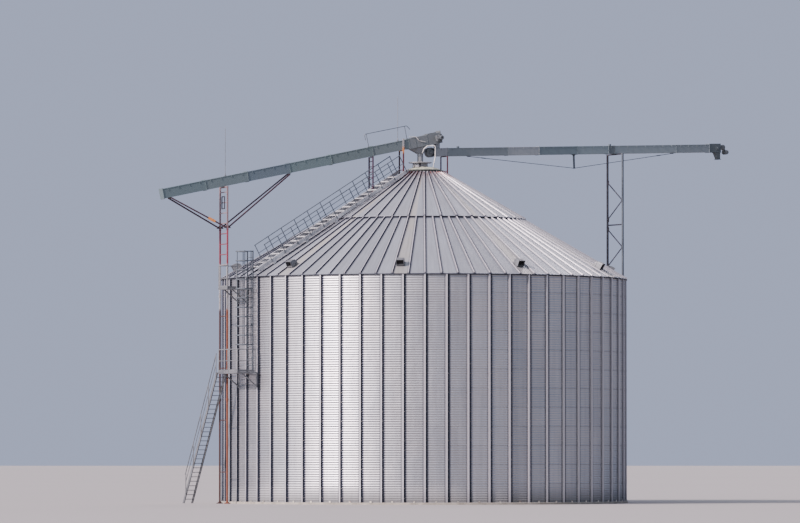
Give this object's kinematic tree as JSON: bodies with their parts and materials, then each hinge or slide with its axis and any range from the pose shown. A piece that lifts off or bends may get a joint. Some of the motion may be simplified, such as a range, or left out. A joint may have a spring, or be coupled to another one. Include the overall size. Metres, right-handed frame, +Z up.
{
  "type": "feed silo",
  "caption": "Round corrugated steel feed silo with a conical ribbed roof, roof stair, caged ladder, platforms and two chain conveyors meeting over its peak.",
  "frame": {"origin": "middle of the foundation's underside, at ground level under the silo's axis", "axes": "+Z up; +X to the right and +Y away from the viewer in the picture; the level conveyor leaves towards +X and +Y, the inclined one towards -X and -Y"},
  "size_m": [25.9896, 18.3, 18.27],
  "materials": {
    "galvanised": "weathered galvanised corrugated sheet",
    "roofing": "weathered galvanised roof sheet, rust at the peak",
    "concrete": "rough cast concrete",
    "peak_steel": "dull weathered steel with some rust",
    "conveyor_casing": "dull green-grey weathered galvanised casing",
    "machine_grey": "worn dark grey paint",
    "red_oxide": "matt red oxide primer, pale and grey in places",
    "walkway": "weathered hot-dip galvanised steel"
  },
  "bodies": {
    "root": {"roof_vent_1": "galvanised", "roof_vent_2": "galvanised", "roof_vent_3": "galvanised", "roof_vent_4": "galvanised", "roof_vent_5": "galvanised", "roof_vent_6": "galvanised", "roof_vent_7": "galvanised", "roof_vent_8": "galvanised", "roof_vent_9": "galvanised", "roof_vent_10": "galvanised", "wall_front_right": "galvanised", "wall_back_right": "galvanised", "wall_back_left": "galvanised", "wall_front_left": "galvanised", "lower_roof_front_right": "roofing", "lower_roof_back_right": "roofing", "lower_roof_back_left": "roofing", "lower_roof_front_left": "roofing", "upper_roof_front_right": "roofing", "upper_roof_back_right": "roofing", "upper_roof_back_left": "roofing", "upper_roof_front_left": "roofing", "foundation": "concrete", "peak_collar": "peak_steel", "peak_cap": "peak_steel", "inlet_drum": "peak_steel", "inlet_spout": "peak_steel", "lightning_rod_mast": "peak_steel", "lightning_rod_peak": "peak_steel", "conveyor_guard_rail": "peak_steel", "king_post_truss": "peak_steel", "conveyor_trestle": "peak_steel", "inclined_trough": "conveyor_casing", "inclined_head": "conveyor_casing", "level_trough": "conveyor_casing", "level_head": "conveyor_casing", "transfer_box": "conveyor_casing", "inclined_motor": "machine_grey", "level_motor": "machine_grey", "level_tail": "machine_grey", "conveyor_mast": "red_oxide", "strut_pair_inner": "red_oxide", "strut_pair_outer": "red_oxide", "peak_frame_left": "red_oxide", "peak_frame_right": "red_oxide", "ladder_frame": "red_oxide", "roof_stair": "walkway", "roof_stair_rail_far": "walkway", "roof_stair_rail_near": "walkway", "wall_ladder": "walkway", "cage_far_side": "walkway", "cage_near_side": "walkway", "cage_back": "walkway", "upper_platform": "walkway", "upper_platform_rail": "walkway", "lower_platform": "walkway", "lower_platform_rail": "walkway", "access_stair": "walkway", "access_stair_rail": "walkway"}
  },
  "joints": []
}
